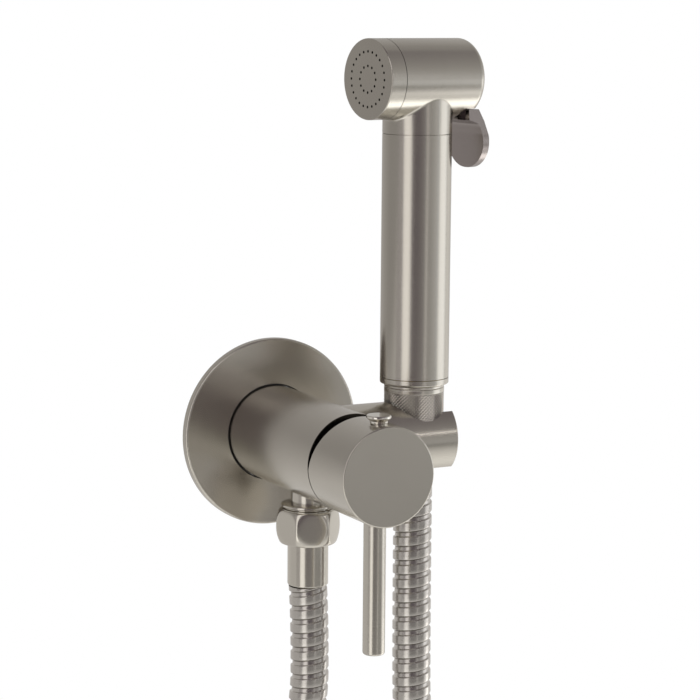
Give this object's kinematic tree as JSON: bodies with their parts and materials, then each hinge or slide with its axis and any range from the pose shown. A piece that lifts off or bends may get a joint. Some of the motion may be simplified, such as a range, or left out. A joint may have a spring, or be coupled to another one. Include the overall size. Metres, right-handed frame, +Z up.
{
  "type": "bidet shower mixer",
  "caption": "Wall-mounted single-lever mixer with a side holder, metal hose and T-shaped trigger hand spray.",
  "frame": {"origin": "the point of the mixer's axis that lies in the wall's face", "axes": "+Z up, -Y out of the wall along the mixer's axis towards the user, +X to the user's right, where the hand spray hangs"},
  "size_m": [0.1649, 0.1451, 0.5056],
  "materials": {
    "brushed_nickel": "fine brushed, warm grey",
    "polished_nickel": "polished",
    "hose_steel": "satin, ribbed",
    "cast_brass": "turned and cast, bare",
    "stainless": "drawn",
    "black_rubber": "moulded",
    "grey_foam": "closed-cell foam",
    "white_ceramic": "lapped ceramic",
    "white_plastic": "moulded",
    "black_plastic": "moulded"
  },
  "bodies": {
    "root": {"concealed_body": "cast_brass", "barrel_seals": "black_rubber", "mixer_barrel": "brushed_nickel", "barrel_screws": "stainless", "wall_rose": "brushed_nickel", "rose_gasket": "grey_foam", "rose_ring": "black_rubber", "cartridge_base": "white_plastic", "cartridge_seals": "black_rubber", "cartridge_housing": "white_plastic", "fixed_disc": "white_ceramic", "ring_nut": "cast_brass", "outlet_nipple": "brushed_nickel", "check_valve": "white_plastic", "hose_washer": "black_rubber", "hose_nut": "brushed_nickel", "lower_tail": "cast_brass", "lower_ferrule": "brushed_nickel", "hose_fall": "hose_steel", "hose_coil": "hose_steel", "hose_rise": "hose_steel", "hose_tie": "black_plastic"},
    "guide": {"turning_guide": "white_plastic", "cross_pin": "stainless"},
    "lever": {"spindle": "stainless", "cap": "brushed_nickel", "cap_grub_screw": "stainless", "index_stud": "polished_nickel", "pin_lever": "brushed_nickel"},
    "slider": {"disc_carrier": "white_plastic", "moving_disc": "white_ceramic"},
    "hose_end": {"upper_ferrule": "brushed_nickel", "upper_tail": "cast_brass"},
    "hand_spray": {"upper_washer": "black_rubber", "cone_nut": "brushed_nickel", "grip_nipple": "cast_brass", "grip_end_ring": "brushed_nickel", "grip_sleeve": "brushed_nickel", "water_tube": "white_plastic", "spray_head": "brushed_nickel", "spray_face": "brushed_nickel", "face_seal": "black_rubber", "valve_seat": "cast_brass", "stem_seal": "black_rubber", "spring_washer": "stainless", "trigger_pin": "stainless", "valve_spring": "stainless"},
    "trigger": {"trigger": "brushed_nickel"},
    "valve": {"valve_disc": "black_rubber", "valve_stem": "stainless", "stem_nut": "stainless"}
  },
  "joints": [
    {"name": "temperature", "type": "hinge", "parent": "root", "child": "guide", "pos_m": [0, -0.07, 0], "axis": [0, 1, 0], "range_deg": [-45, 45]},
    {"name": "flow", "type": "hinge", "parent": "guide", "child": "lever", "pos_m": [0, -0.07, 0], "axis": [-1, 0, 0], "range_deg": [0, 15]},
    {"name": "disc_slide", "type": "slide", "parent": "guide", "child": "slider", "axis": [0, 0, -1], "range_m": [0, 0.0028]},
    {"name": "hand_lift", "type": "slide", "parent": "root", "child": "hose_end", "axis": [0, 0, 1], "range_m": [0, 0.03]},
    {"name": "hand_turn", "type": "hinge", "parent": "hose_end", "child": "hand_spray", "pos_m": [0.0353, -0.0553, 0], "axis": [0, 0, 1], "continuous": true},
    {"name": "trigger_press", "type": "hinge", "parent": "hand_spray", "child": "trigger", "pos_m": [0.04973, -0.05306, 0.1333], "axis": [-0.1537, 0.9881, 0], "range_deg": [0, 12], "stiffness_Nm_per_rad": 0.15, "springref_deg": -14.32},
    {"name": "valve_slide", "type": "slide", "parent": "hand_spray", "child": "valve", "axis": [0.9881, 0.1537, 0], "range_m": [0, 0.00168], "deforming": ["valve_spring"]}
  ],
  "couplings": [
    {"joint": "disc_slide", "follows": "flow", "m_per_rad": 0.01015},
    {"joint": "trigger_press", "follows": "valve_slide", "rad_per_m": 125}
  ]
}
